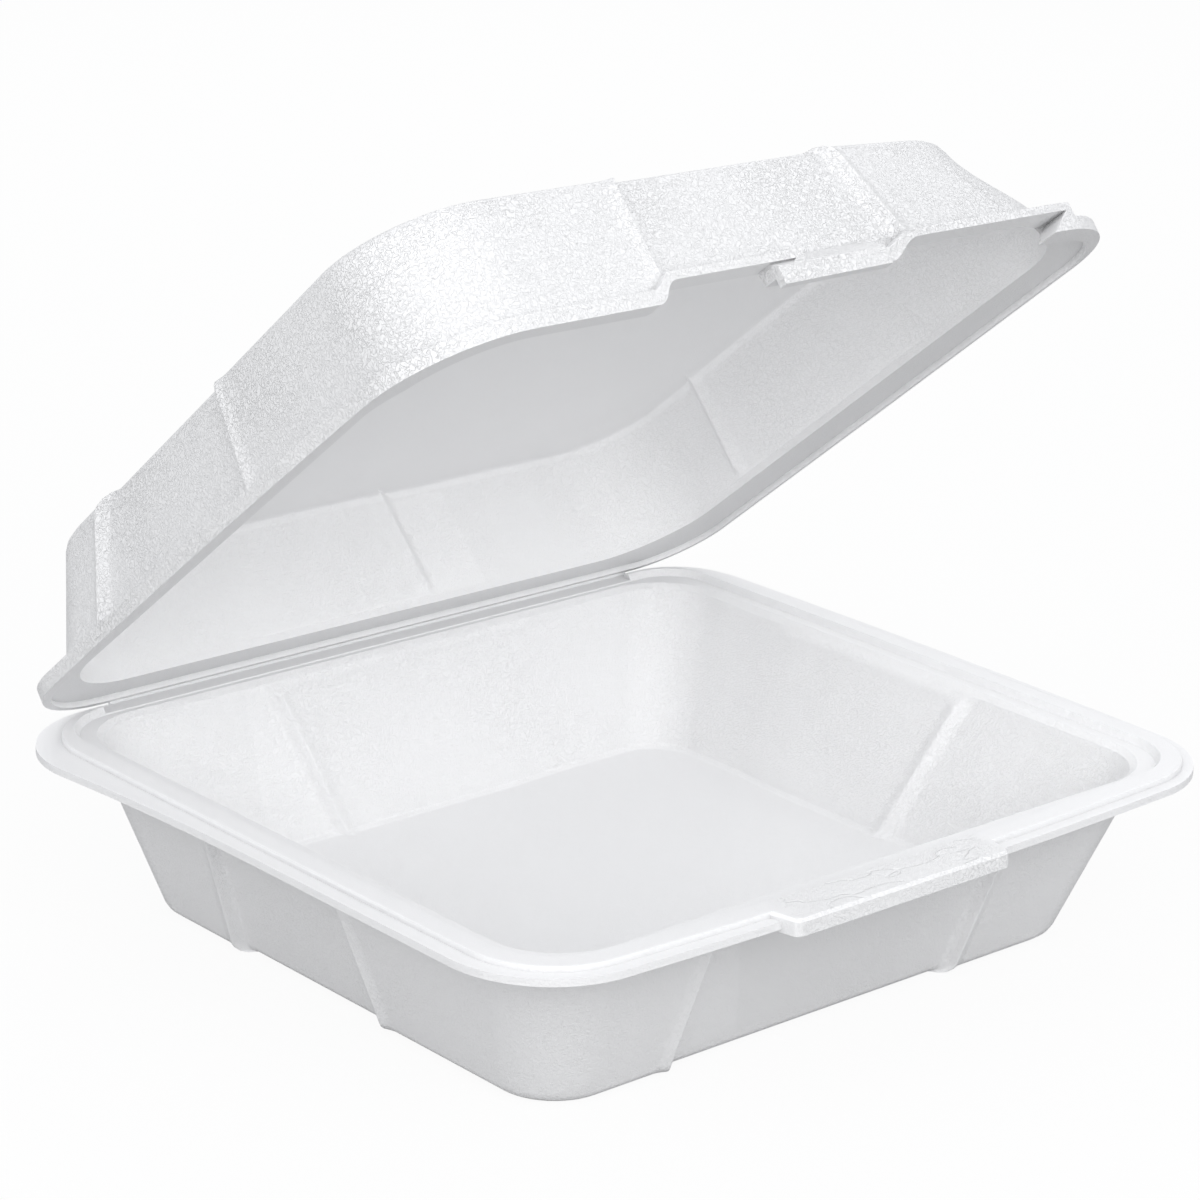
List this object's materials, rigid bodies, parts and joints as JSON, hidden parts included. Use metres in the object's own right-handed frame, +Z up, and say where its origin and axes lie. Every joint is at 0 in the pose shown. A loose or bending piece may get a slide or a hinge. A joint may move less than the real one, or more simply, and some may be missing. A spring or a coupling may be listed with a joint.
{
  "type": "foam clamshell container",
  "caption": "Square hinged takeaway container of white expanded foam, with a deep tray, a domed lid on a living hinge, a thumb tab and a notched latch rim.",
  "frame": {"origin": "on the table, under the middle of the tray", "axes": "+Z up, +X along the hinge, -Y towards the front with the thumb tab"},
  "size_m": [0.223, 0.2105, 0.193],
  "materials": {
    "foam": "white expanded foam, lightly leathery"
  },
  "bodies": {
    "tray": {"tray": "foam"},
    "lid": {"lid": "foam"}
  },
  "joints": [
    {"name": "lid_hinge", "type": "hinge", "parent": "tray", "child": "lid", "pos_m": [0, 0.096, 0.04265], "axis": [-1, 0, 0], "range_deg": [-38.6, 141.4]}
  ]
}
